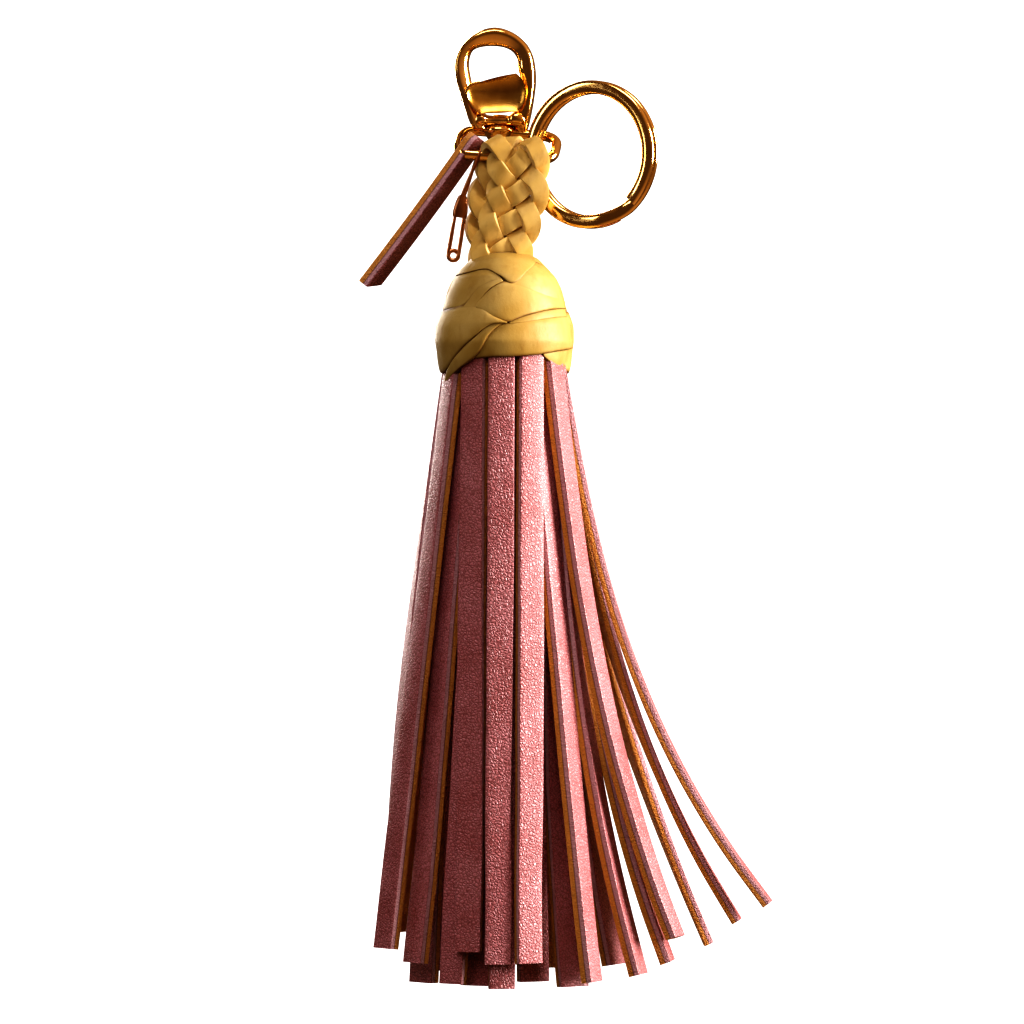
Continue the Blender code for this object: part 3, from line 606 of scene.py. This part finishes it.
def add_safety_pin():
    """Seen from the front: a link over the loop, a folded hood, two parallel wires and the coil."""
    top = joint_point("safety_pin_swing")
    coil = joint_point("pin_arm_open") + PIN_BEND
    hood = top.lerp(coil, 0.42) - PIN_BEND
    lean = (coil - hood).normalized()
    side = FRONT.cross(lean).normalized()
    if side.x < 0:
        side = -side
    front = lean.cross(side).normalized()
    if front.dot(FRONT) < 0:
        front = -front
    reach = (hood - top).length
    link_lean = (hood - top).normalized()
    link = []
    for turn in turns(32):
        along = reach / 2 - 0.3 - (reach / 2 + 1.1) * math.cos(turn)
        link.append(top + link_lean * along + front * 1.3 * math.sin(turn) + side * 0.15 * math.sin(2 * turn))
    add_metal("pin_hanger", tube_rings(link, 0.34, 14, True, side), "safety_pin", ["pin_link"],
              closed=True, finish=DARK_GOLD)
    profile = [(-0.5, 0.2, 0.2), (-0.3, 0.62, 0.5), (0.1, 0.92, 0.72), (1.0, 1.16, 0.85), (2.2, 1.38, 0.9),
               (3.3, 1.42, 0.88), (PIN_HOOD_LENGTH, 1.36, 0.8)]
    cap = []
    for along, half, deep in column_smooth(profile, 3):
        middle = hood + lean * along
        cap.append([middle + side * half * soft_cos(turn, 0.8) + front * deep * soft_sin(turn, 0.8)
                    for turn in turns(24)])
    add_metal("pin_hood", cap, "safety_pin", ["pin_cap"], finish=DARK_GOLD)
    spine = [hood + lean * 2.5 + side * (PIN_SIDE - 0.08), coil - lean * 4 + side * PIN_SIDE,
             coil - lean * 1.3 + side * PIN_SIDE]
    for step in range(29):
        angle = math.radians(420 * step / 28)
        around = side * math.cos(angle) + lean * math.sin(angle)
        spine.append(coil + around * PIN_SIDE + front * (0.42 - 0.84 * step / 28))
    add_metal("pin_spine", tube_rings(smooth(spine, 2), PIN_WIRE, 14, False, front), "safety_pin",
              ["pin_wire"], finish=DARK_GOLD)
    arm = smooth([hood + lean * 2.6 - side * 0.8, coil - lean * 5 - side * 0.92,
                  coil - lean * 0.2 - side * 0.98], 4)
    radii = [PIN_TIP + (PIN_WIRE - PIN_TIP) * min(index / 5, 1) for index in range(len(arm))]
    add_metal("pin_needle", tube_rings(arm, radii, 14, False, front), "pin_arm", ["pin_arm"],
              finish=DARK_GOLD)


TAG_WIDTH = 4.4
TAG_THICKNESS = 2.3
TAG_HOLE_RADIUS = 1.15
TAG_TURN = 0.068
TAG_OFFSET = 0.95
TAG_TOP_EXTRA = 0.9
TAG_END_EXTRA = 1.2
TAG_ROWS = 40
TAG_SLANT_LENGTH = 4.0
TAG_SLANT = 0.4


def add_tag():
    """A straight strip with a round hole near its top, its far end cut on a slant."""
    corners = [vertex.co / MM for vertex in nodes["tag_strip"].data.vertices]
    hole = joint_point("tag_swing")
    centre = sum(corners, Vector()) / len(corners)
    out = joint_axis("tag_swing")
    if out.dot(FRONT) < 0:
        out = -out
    along = centre - hole
    along = (along - out * along.dot(out)).normalized()
    side = out.cross(along).normalized()
    if side.x < 0:
        side = -side
    along = (along + side * TAG_TURN).normalized()
    side = (side - along * side.dot(along)).normalized()
    start = min((corner - hole).dot(along) for corner in corners) - TAG_TOP_EXTRA
    finish = max((corner - hole).dot(along) for corner in corners) + TAG_END_EXTRA
    ring = strip_ring(TAG_WIDTH, TAG_THICKNESS, 0.26, 0.05)
    rows = []
    rings = []
    for index in range(TAG_ROWS + 1):
        share = index / TAG_ROWS
        reach = start + (finish - start) * share
        narrow = 1 - 0.32 * max(0.0, 1 - (reach - start) / 1.6) ** 2
        sway = 0.25 * math.sin(math.pi * share)
        rows.append((hole + along * reach + side * TAG_OFFSET + out * sway, side, out))
        rings.append([(across * narrow, deep, ply) for across, deep, ply in ring])
    points, faces, values = ribbon(rows, rings)
    spots = []
    for point in points:
        local = point - hole
        slant = max(0.0, (local.dot(along) - finish + TAG_SLANT_LENGTH) / TAG_SLANT_LENGTH)
        spots.append(point + along * slant * TAG_SLANT * (TAG_WIDTH / 4 - local.dot(side)))
    tag = add_mesh("tag_leather", spots, faces, PINK, "tag", ["tag_strip"], values)
    punch_rings = [[hole + out * depth + (along * math.cos(turn) + side * math.sin(turn)) * TAG_HOLE_RADIUS
                    for turn in turns(28)] for depth in (-3.0, 3.0)]
    points, faces = skin_rings(punch_rings)
    mesh = bpy.data.meshes.new("tag_punch")
    mesh.from_pydata([point * MM for point in points], [], faces)
    punch = bpy.data.objects.new("tag_punch", mesh)
    bpy.context.scene.collection.objects.link(punch)
    cut = tag.modifiers.new("hole", "BOOLEAN")
    cut.operation = "DIFFERENCE"
    cut.object = punch
    cut.solver = "EXACT"
    bpy.context.view_layer.update()
    holed = bpy.data.meshes.new_from_object(tag.evaluated_get(bpy.context.evaluated_depsgraph_get()))
    tag.modifiers.clear()
    tag.data = holed
    bpy.data.objects.remove(punch)


add_bow()
add_gate_plate()
add_swivel()
add_loop()
add_key_ring()
add_safety_pin()
add_tag()


# ---------------------------------------------------------------- fringe strands

STRAND_WIDTH = 5.0
STRAND_THICKNESS = 2.15
STRAND_REAR_WIDTH = 5.9
STRAY_WIDTH = 4.7
STRAY_THICKNESS = 1.8
STRAND_ROW_STEPS = 6


def level_sections(node):
    """A CAD strand's cross-sections from the top down, as (centre, side)."""
    levels = {}
    for vertex in nodes[node].data.vertices:
        spot = vertex.co / MM
        key = tuple(round(value, 2) for value in spot)
        levels.setdefault(round(spot.z, 2), {})[key] = spot
    sections = []
    outward = None
    for height in sorted(levels, reverse=True):
        corners = list(levels[height].values())
        centre = sum(corners, Vector()) / len(corners)
        gaps = sorted((corner - corners[0] for corner in corners[1:]), key=lambda gap: gap.length)
        side = gaps[1].normalized()
        out = side.cross(UP)
        if outward is None:
            outward = Vector((centre.x - HEAD_X, centre.y - HEAD_Y, 0))
        if out.dot(outward) < 0:
            out = -out
        outward = out
        sections.append((centre, UP.cross(out).normalized() * -1))
    return sections


def body_of_strand(name):
    for body, members in frame["record"]["behaviour"]["bodies"].items():
        if name in members:
            return body


def add_strand(name, seed):
    sections = level_sections(name)
    centres = smooth([section[0] for section in sections], STRAND_ROW_STEPS)
    sides = smooth([section[1] for section in sections], STRAND_ROW_STEPS)
    full, thick = STRAND_WIDTH, STRAND_THICKNESS
    if "stray" in name:
        full, thick = STRAY_WIDTH, STRAY_THICKNESS
    elif "core" in name or "rear" in name:
        full = STRAND_REAR_WIDTH
    rows = []
    rings = []
    last = len(centres) - 1
    for row, centre in enumerate(centres):
        fall = row / last
        side = sides[row].normalized()
        before = centres[max(row - 1, 0)]
        after = centres[min(row + 1, last)]
        down = (after - before).normalized()
        out = side.cross(down).normalized()
        if out.dot(side.cross(UP)) > 0:
            out = -out
        waver = 0.12 * math.sin(9 * fall + seed * 1.7) + 0.07 * math.sin(23 * fall + seed * 2.9)
        width = full * (1 + 0.02 * math.sin(7 * fall + seed))
        crown = 0.10 + 0.05 * math.sin(5 * fall + seed * 1.3)
        rows.append((centre + side * waver * fall, side, out))
        rings.append(strip_ring(width, thick, 0.22, crown))
    points, faces, values = ribbon(rows, rings)
    add_mesh(name.replace("strand", "leather"), points, faces, PINK, body_of_strand(name),
             [name], values)


strand_names = sorted(name for name in nodes if name.startswith("strand_"))
for index, strand_name in enumerate(strand_names):
    add_strand(strand_name, index)


# ---------------------------------------------------------------- braid

BRAID_PERIOD = 22.6
BRAID_REACH = 4.1
BRAID_LIFT = 1.0
BRAID_LACE_WIDTH = 3.55
BRAID_LACE_THICKNESS = 1.3
BRAID_FOLD_RADIUS = 2.35
BRAID_FRONT_LEG = [(-40.5, 1.2), (-35.5, 1.7), (-31.0, 3.0), (-25.5, 4.5), (-21.5, 4.7)]
BRAID_BACK_LEG = [(-21.5, 2.2), (-27.0, 0.8), (-33.0, 0.6), (-40.5, 1.6)]
BRAID_PHASE = 0.69
BRAID_FOLD_STEPS = 6
BRAID_FOLD_X = (4.6, 2.6)
BRAID_BANK_DEGREES = 24


def bar_at(x):
    return BAR + ALONG * ((x - BAR.x) / ALONG.x)


def braid_line():
    """Evenly spaced (point, out) up the front leg, over the bar and down the back leg."""
    spots = []
    for z, x in BRAID_FRONT_LEG:
        spots.append((Vector((x, bar_at(x).y - BRAID_FOLD_RADIUS, z)), FRONT))
    front_x, back_x = BRAID_FOLD_X
    for step in range(BRAID_FOLD_STEPS + 1):
        angle = math.pi * step / BRAID_FOLD_STEPS
        x = front_x + (back_x - front_x) * step / BRAID_FOLD_STEPS
        out = Vector((0, -math.cos(angle), math.sin(angle)))
        spots.append((bar_at(x) + out * BRAID_FOLD_RADIUS, out))
    for z, x in BRAID_BACK_LEG:
        spots.append((Vector((x, bar_at(x).y + BRAID_FOLD_RADIUS, z)), -FRONT))
    points = smooth([spot[0] for spot in spots], 12)
    outs = smooth([spot[1] for spot in spots], 12)
    return points, [out.normalized() for out in outs]


def lace_rows(lace):
    """One lace's rows for ribbon; the four laces are a quarter of a period apart."""
    points, outs = braid_line()
    lengths = [0.0]
    for before, after in zip(points, points[1:]):
        lengths.append(lengths[-1] + (after - before).length)
    spots = []
    for point, out, length in zip(points, outs, lengths):
        phase = math.tau * (BRAID_PHASE - length / BRAID_PERIOD) + lace * math.pi / 2
        across = -BRAID_REACH * (math.cos(phase) + 0.04 * math.cos(3 * phase))
        lift = BRAID_LIFT * (0.207 * math.sin(phase) + 1.207 * math.sin(3 * phase))
        spots.append((point, out, across, lift))
    path = []
    for index, (point, out, across, lift) in enumerate(spots):
        ahead = points[min(index + 1, len(points) - 1)] - points[max(index - 1, 0)]
        level = ahead.normalized().cross(out).normalized()
        if level.x < 0:
            level = -level
        path.append((point + level * across + out * lift, level, out, across))
    rows = []
    for index, (spot, level, out, across) in enumerate(path):
        tangent = path[min(index + 1, len(path) - 1)][0] - path[max(index - 1, 0)][0]
        tangent.normalize()
        bank = math.radians(BRAID_BANK_DEGREES) * (across / BRAID_REACH) ** 3
        facing = out * math.cos(bank) + level * math.sin(bank)
        side = tangent.cross(facing).normalized()
        if side.dot(level) < 0:
            side = -side
        facing = side.cross(tangent).normalized()
        if facing.dot(out) < 0:
            facing = -facing
        rows.append((spot, side, facing))
    return rows


def add_braid():
    for lace in range(4):
        rows = lace_rows(lace)
        ring = strip_ring(BRAID_LACE_WIDTH, BRAID_LACE_THICKNESS, 0.14, 0.06)
        points, faces, values = ribbon(rows, [ring] * len(rows))
        add_mesh("woven_lace_%d" % (lace + 1), points, faces, MUSTARD, "strap",
                 ["braid_lace_%d" % (lace + 1)], values)


add_braid()


# ---------------------------------------------------------------- woven head

# The head's radius over its bands at each height.
HEAD_PROFILE = [(-35.5, 2.0), (-36.9, 5.2), (-37.6, 6.4), (-38.8, 7.6), (-41.0, 9.8), (-43.3, 10.9),
                (-45.6, 11.6), (-47.9, 12.3), (-50.2, 13.1), (-53.5, 13.5), (-57.0, 12.9), (-62.0, 11.7)]
HEAD_SINK = 2.9
BAND_THICKNESS = 1.4
# Each band lies between two edges, given as (degrees round the head, height). lift raises its start and
# its end; a loose band keeps that lift round the side, where the others settle to one level.
HEAD_BANDS = {
    "lower_right": dict(
        upper=[(-20, -51.6), (-6, -50.4), (13, -49.8), (35, -49.1), (60, -48.6), (114, -48.0)],
        lower=[(-34, -56.9), (-10, -56.6), (10, -56.5), (32, -56.1), (62, -55.2), (114, -54.0)],
        lift=(0.3, 0.6), crown=0.35),
    "strip_right": dict(
        upper=[(2, -49.4), (22, -48.3), (45, -47.6), (70, -47.2), (114, -47.0)],
        lower=[(4, -50.4), (20, -50.0), (40, -49.3), (65, -48.8), (114, -48.4)],
        lift=(0.5, 0.7), crown=0.1),
    "narrow_left": dict(
        upper=[(-80, -61.6), (-56, -57.8), (-40, -55.2), (-27, -53.0), (-13, -50.4), (-2, -49.6)],
        lower=[(-74, -62.0), (-60, -60.2), (-46, -58.8), (-24, -56.0), (-12, -52.1), (0, -50.1)],
        lift=(1.3, 0.9), crown=0.25, loose=True),
    "upper_left": dict(
        upper=[(-114, -42.0), (-72, -40.8), (-48, -40.0), (-24, -39.6), (-4, -41.4)],
        lower=[(-114, -47.6), (-70, -47.4), (-44, -47.0), (-28, -44.4), (-3, -42.4)],
        lift=(1.0, 1.0), crown=0.3),
    "upper_right": dict(
        upper=[(8, -41.4), (24, -39.4), (45, -37.9), (68, -38.4), (114, -39.6)],
        lower=[(6, -43.6), (24, -44.6), (46, -46.0), (74, -47.2), (114, -47.4)],
        lift=(1.0, 1.0), crown=0.35),
    "centre": dict(
        upper=[(-27, -46.5), (-18, -44.3), (-6, -42.5), (6, -42.2), (20, -43.0), (36, -44.2), (60, -45.2),
               (114, -45.8)],
        lower=[(-27, -47.4), (-18, -48.2), (-6, -49.5), (4, -50.0), (18, -48.9), (36, -48.0), (60, -47.3),
               (114, -47.0)],
        lift=(1.2, 1.1), crown=0.4),
    "strip_left": dict(
        upper=[(-42, -47.2), (-36, -45.6), (-29, -43.8), (-16, -42.3), (-3, -41.7)],
        lower=[(-27, -47.2), (-21, -45.2), (-15, -43.8), (-8, -42.9), (-1, -42.3)],
        lift=(1.3, 1.4), crown=0.15),
    "lower_left": dict(
        upper=[(-114, -47.6), (-75, -47.5), (-55, -47.1), (-42, -46.6), (-30, -46.5), (-20, -47.2),
               (-10, -48.8), (3, -50.1)],
        lower=[(-114, -58.6), (-80, -59.4), (-66, -59.0), (-53, -57.5), (-40, -55.3), (-27, -53.1),
               (-13, -50.7), (1, -50.3)],
        lift=(1.3, 1.25), crown=0.4),
    "crest": dict(
        upper=[(-114, -37.6), (-60, -36.9), (-22, -36.5), (0, -36.4), (20, -36.4), (45, -36.6), (75, -36.8)],
        lower=[(-114, -41.2), (-60, -40.7), (-26, -39.9), (-6, -41.2), (9, -42.7), (30, -40.2), (75, -37.2)],
        lift=(1.4, 1.4), crown=0.25),
    "right_tip": dict(
        upper=[(34, -55.0), (50, -54.4), (66, -53.8), (112, -52.6)],
        lower=[(40, -56.4), (56, -58.4), (70, -61.2), (112, -60.4)],
        lift=(0.0, 0.3), crown=0.2, loose=True),
}
BAND_COLUMNS = 14
# Round the side, the bands settle to nearly one level, over this many degrees.
SIDE_START = 40
SIDE_SPAN = 42
SIDE_LIFT = 1.15
SIDE_LIFT_STEP = 0.04
# The front and back bands dive under each other along a wavy seam at each side.
SEAM_START = 88
SEAM_SPAN = 9
SEAM_SWAY = 9.0
SEAM_DIVE = 1.3
SEAM_MIDDLE_Z = -46
SEAM_WAVES = 0.55
# Near the head's rim the bands thin on their inside, which gives the strands room.
RIM_HOLLOW = 0.6
RIM_TOP_Z = -53.0
RIM_HEIGHT = 3.0
HEAD_NODES = ["head_band_%d" % (number + 1) for number in range(6)]


def head_radius(z):
    for (upper, wide), (lower, wider) in zip(HEAD_PROFILE, HEAD_PROFILE[1:]):
        if z >= lower:
            share = clamp((upper - z) / (upper - lower))
            return wide + (wider - wide) * share
    return HEAD_PROFILE[-1][1]


def head_point(degrees, z, height):
    turn = math.radians(degrees)
    radius = head_radius(z) + height - HEAD_SINK
    return Vector((HEAD_X + radius * math.sin(turn), HEAD_Y - radius * math.cos(turn), z))


def rim_hollow(z):
    return RIM_HOLLOW * clamp((RIM_TOP_Z - z) / RIM_HEIGHT)


def head_band(order, upper, lower, lift, crown, turn, loose=False):
    """A closed patch of leather over the head: rows run along the band, columns across it."""
    upper = smooth([Vector((degrees + turn, z, 0)) for degrees, z in upper], 8)
    lower = smooth([Vector((degrees + turn, z, 0)) for degrees, z in lower], 8)
    rows = max(len(upper), len(lower))
    level = SIDE_LIFT + SIDE_LIFT_STEP * order
    grid = []
    for row in range(rows):
        share = row / (rows - 1)
        high = upper[round(share * (len(upper) - 1))]
        low = lower[round(share * (len(lower) - 1))]
        raised = lift[0] + (lift[1] - lift[0]) * share
        line = []
        for column in range(BAND_COLUMNS + 1):
            across = column / BAND_COLUMNS
            spot = high.lerp(low, across)
            belly = crown * (1 - (2 * across - 1) ** 2) ** 0.5
            round_side = 0.0 if loose else ease((abs(spot.x - turn) - SIDE_START) / SIDE_SPAN)
            height = raised + (level - raised) * round_side + belly * (1 - 0.7 * round_side)
            seam = SEAM_SWAY * math.sin(SEAM_WAVES * (spot.y - SEAM_MIDDLE_Z))
            past_seam = max(abs(spot.x - turn - seam) - SEAM_START, 0.0)
            dive = SEAM_DIVE * min(past_seam / SEAM_SPAN, 1.0)
            line.append((spot.x, spot.y, height - dive))
        grid.append(line)
    rings = []
    for line in grid:
        ring = [(degrees, z, height + BAND_THICKNESS, 0.0) for degrees, z, height in line]
        degrees, z, height = line[-1]
        ring += [(degrees, z, height + BAND_THICKNESS * share, 0.5) for share in (0.85, 0.7, 0.55)]
        ring += [(degrees, z, height + rim_hollow(z), 1.0) for degrees, z, height in reversed(line)]
        degrees, z, height = line[0]
        ring += [(degrees, z, height + BAND_THICKNESS * share, 0.5) for share in (0.15, 0.5, 0.85)]
        rings.append(ring)
    count = len(rings[0])
    points = [head_point(degrees, z, height) for ring in rings for degrees, z, height, ply in ring]
    faces = []
    band_edge_shade = []

    def add_face(corners, cut):
        faces.append([row * count + column for row, column in corners])
        for row, column in corners:
            # Corners on the band's edges and cut ends are marked for painted shade in the leather.
            rim = rings[row][column][3] == 0.5 or column in (0, BAND_COLUMNS)
            band_edge_shade.append(1.0 if cut or rim else 0.0)

    for row in range(rows - 1):
        for column in range(count):
            beside = (column + 1) % count
            add_face([(row, column), (row, beside), (row + 1, beside), (row + 1, column)], False)
    add_face([(0, column) for column in reversed(range(count))], True)
    add_face([(rows - 1, column) for column in range(count)], True)
    return points, faces, band_edge_shade


def add_head():
    """The front's bands, and the same turned half round for the back."""
    for side, turn in (("front", 0), ("back", 180)):
        for index, (name, band) in enumerate(HEAD_BANDS.items()):
            points, faces, band_edge_shade = head_band(index, turn=turn, **band)
            stands_for = HEAD_NODES if (turn, index) == (0, 0) else []
            piece = add_mesh("head_%s_%s" % (side, name), points, faces, HEAD_MUSTARD_SHADED, "strap",
                             stands_for, {"crease_and_shade": band_edge_shade})
            soften = piece.modifiers.new("soften", "SUBSURF")
            soften.levels = 1
            soften.render_levels = 1


add_head()


# ---------------------------------------------------------------- carried-over CAD nodes

NODE_FINISHES = {"head_core": MUSTARD, "gate_spring": STEEL, "swivel_washer": STEEL}
for name, node in nodes.items():
    if not node.data.materials:
        node.data.materials.append(GOLD)
    for slot in node.material_slots:
        slot.material = NODE_FINISHES.get(name, GOLD)


# ---------------------------------------------------------------- stage, lights and camera

VIEW_WIDTH = 194.6
VIEW_CENTRE = Vector((3.5, HEAD_Y, -85.7))
CAMERA_DISTANCE = 1000.0
SENSOR_WIDTH = 36.0
FLOOR_Z = -600.0
FLOOR_HALF = 3000
FLOOR_EMISSION = 0.85


def add_floor():
    """A pale floor that glows by itself. Only the camera sees it, so it doesn't light the object."""
    material, tree, shader, place = new_material("pale_floor")
    speckle = noise(tree, place, 40, 2)
    tree.links.new(mix(tree, speckle, (0.86, 0.86, 0.85, 1), (0.90, 0.90, 0.89, 1)),
                   shader.inputs["Base Color"])
    shader.inputs["Roughness"].default_value = 0.9
    shader.inputs["Emission Color"].default_value = (1.0, 1.0, 0.99, 1)
    shader.inputs["Emission Strength"].default_value = FLOOR_EMISSION
    points = [Vector((x * FLOOR_HALF, y * FLOOR_HALF, FLOOR_Z)) * MM
              for x, y in ((-1, -1), (1, -1), (1, 1), (-1, 1))]
    mesh = bpy.data.meshes.new("floor")
    mesh.from_pydata(points, [], [(0, 1, 2, 3)])
    mesh.materials.append(material)
    floor = bpy.data.objects.new("floor", mesh)
    bpy.context.scene.collection.objects.link(floor)
    floor.visible_diffuse = False
    floor.visible_glossy = False


def aim(thing, spot, target):
    thing.location = spot * MM
    thing.rotation_euler = (target - spot).to_track_quat("-Z", "Y").to_euler()


def add_light(name, spot, width, height, power, colour=(1, 1, 1), glossy=True):
    """A soft rectangle aimed at the middle of the object."""
    data = bpy.data.lights.new(name, "AREA")
    data.shape = "RECTANGLE"
    data.size = width * MM
    data.size_y = height * MM
    data.energy = power
    data.color = colour
    light = bpy.data.objects.new(name, data)
    bpy.context.scene.collection.objects.link(light)
    light.visible_glossy = glossy
    aim(light, spot, VIEW_CENTRE)


def add_camera():
    data = bpy.data.cameras.new("camera")
    data.sensor_width = SENSOR_WIDTH
    data.lens = SENSOR_WIDTH * CAMERA_DISTANCE / VIEW_WIDTH
    camera = bpy.data.objects.new("camera", data)
    bpy.context.scene.collection.objects.link(camera)
    aim(camera, VIEW_CENTRE + FRONT * CAMERA_DISTANCE, VIEW_CENTRE)
    bpy.context.scene.camera = camera


# What metal and leather mirror: brighter towards the upper right, with a pale patch below.
SURROUND_COLOUR = (0.80, 0.50, 0.27, 1)
SURROUND_SHADE = 0.12
SURROUND_LIGHT = 0.55
SURROUND_SIDE = (0.66, -0.10, 0.74)
FLOOR_GLOW = 0.4
FLOOR_SIDE = (0.10, -0.45, -0.89)
# What every other ray gets from the surroundings. The camera sees plain white.
AMBIENT = 0.07
WHITE = (1, 1, 1, 1)


def add_world():
    world = bpy.data.worlds.new("studio")
    world.use_nodes = True
    tree = world.node_tree
    background = tree.nodes["Background"]
    ray = shader_node(tree, "LightPath")
    seen = ray.outputs["Is Camera Ray"]
    mirrored = ray.outputs["Is Glossy Ray"]
    place = shader_node(tree, "TexCoord").outputs["Generated"]
    towards = shader_node(tree, "VectorMath", {0: place, 1: SURROUND_SIDE},
                          operation="DOT_PRODUCT").outputs["Value"]
    glow = ramp(tree, towards, 0.1, 0.95, SURROUND_SHADE, SURROUND_LIGHT)
    below = shader_node(tree, "VectorMath", {0: place, 1: FLOOR_SIDE},
                        operation="DOT_PRODUCT").outputs["Value"]
    glow = arithmetic(tree, "ADD", glow, ramp(tree, below, 0.55, 1.0, 0.0, FLOOR_GLOW))
    lit = arithmetic(tree, "ADD", arithmetic(tree, "MULTIPLY", mirrored, glow),
                     arithmetic(tree, "MULTIPLY", arithmetic(tree, "SUBTRACT", 1.0, mirrored), AMBIENT))
    tree.links.new(mix(tree, seen, lit, WHITE), background.inputs["Strength"])
    tree.links.new(mix(tree, seen, SURROUND_COLOUR, WHITE), background.inputs["Color"])
    bpy.context.scene.world = world


add_floor()
add_world()
add_camera()
add_light("key", Vector((950, -190, 160)), 320, 620, 20.5, (1.0, 0.97, 0.94))
add_light("front_fill", Vector((-150, -950, 260)), 500, 400, 2.4, glossy=False)
add_light("top", Vector((-60, -340, 640)), 420, 260, 1.6)
add_light("left_glint", Vector((-800, -350, 250)), 120, 500, 0.7)
add_light("back_fill", Vector((-450, 900, 300)), 500, 700, 8, (1.0, 0.96, 0.92))
bpy.context.scene.view_settings.view_transform = "Standard"
bpy.context.scene.view_settings.look = "Very High Contrast"
